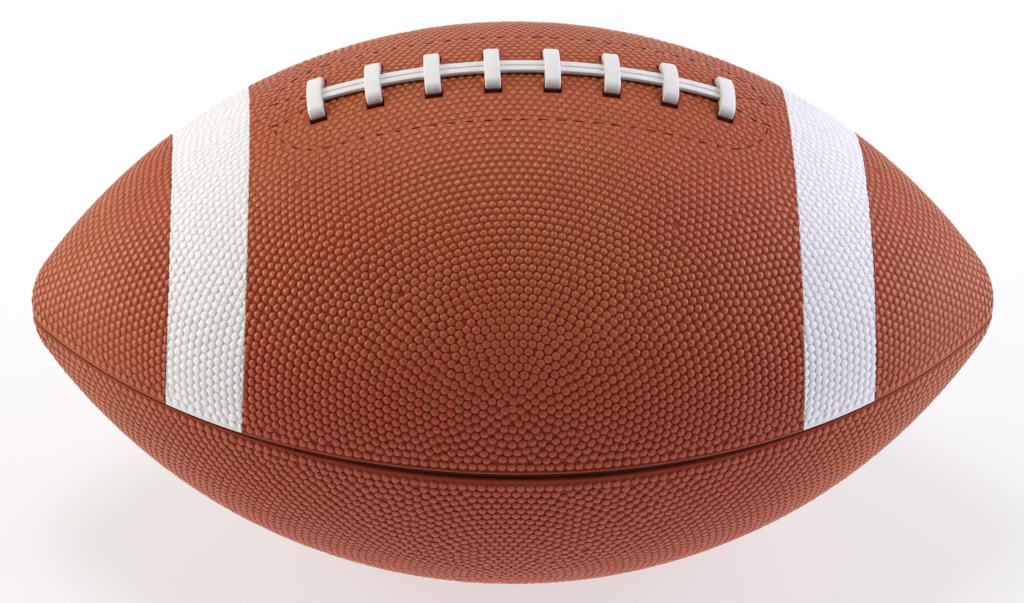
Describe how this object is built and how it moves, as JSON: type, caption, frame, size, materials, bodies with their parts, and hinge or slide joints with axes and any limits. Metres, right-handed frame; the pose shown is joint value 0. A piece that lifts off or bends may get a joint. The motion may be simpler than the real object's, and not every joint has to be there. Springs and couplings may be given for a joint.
{
  "type": "rubber football",
  "caption": "Inflatable moulded rubber American football with a four-panel pebbled cover, raised laces over a stitched patch, white stripes, bladder and needle valve.",
  "frame": {"origin": "centre of the ball, half way between the tips on the long axis", "axes": "+X along the long axis from tip to tip, +Z out through the row of laces, Y across, towards the front seam at -Y and the rear seam at +Y"},
  "size_m": [0.2778, 0.1612, 0.1647],
  "materials": {
    "cover_rubber": "satin moulded rubber with a pebble grain",
    "stripe_rubber": "satin white rubber with the same pebble grain",
    "seam_rubber": "matt dark rubber",
    "lace_rubber": "smooth satin rubber",
    "patch_cloth": "rubberised cloth",
    "winding_nylon": "wound nylon thread in rubber cement",
    "bladder_butyl": "smooth butyl rubber",
    "valve_rubber": "smooth black rubber"
  },
  "bodies": {
    "root": {"panel_upper_front": "cover_rubber", "panel_upper_rear": "cover_rubber", "panel_lower_front": "cover_rubber", "panel_lower_rear": "cover_rubber", "stripe_front_left": "stripe_rubber", "stripe_front_right": "stripe_rubber", "stripe_rear_left": "stripe_rubber", "stripe_rear_right": "stripe_rubber", "seam_strip_ring": "seam_rubber", "seam_strip_bottom": "seam_rubber", "cross_lace_1": "lace_rubber", "cross_lace_2": "lace_rubber", "cross_lace_3": "lace_rubber", "cross_lace_4": "lace_rubber", "cross_lace_5": "lace_rubber", "cross_lace_6": "lace_rubber", "cross_lace_7": "lace_rubber", "cross_lace_8": "lace_rubber", "long_lace_front": "lace_rubber", "long_lace_rear": "lace_rubber", "lace_patch": "patch_cloth", "winding": "winding_nylon", "bladder": "bladder_butyl", "valve_boot": "valve_rubber", "valve_plug": "valve_rubber"}
  },
  "joints": []
}
